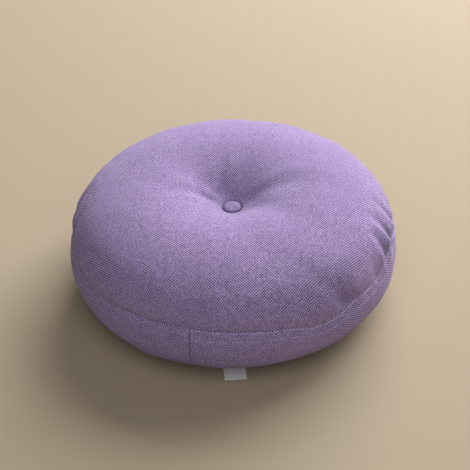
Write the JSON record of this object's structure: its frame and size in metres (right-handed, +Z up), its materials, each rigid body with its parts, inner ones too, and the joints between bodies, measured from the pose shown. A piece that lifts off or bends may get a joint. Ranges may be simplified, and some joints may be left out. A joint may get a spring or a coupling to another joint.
{
  "type": "round seat cushion",
  "caption": "Plump round floor cushion in linen-look cloth with a boxed side band, drawn in at the centre of its top by a covered button.",
  "frame": {"origin": "centre of the cushion's footprint, on the floor that it lies on", "axes": "+Z up through the button, -Y toward the front, where the care label is sewn, +X to the right seen from the front"},
  "size_m": [0.5, 0.5, 0.1859],
  "materials": {
    "cover_cloth": "matt, slubbed linen-look plain weave in heathered purple",
    "button_cloth": "the same plain weave stretched over a button form",
    "label_cloth": "bare white woven tape, slightly satin"
  },
  "bodies": {
    "root": {"cushion": "cover_cloth", "button": "button_cloth", "label": "label_cloth"}
  },
  "joints": []
}
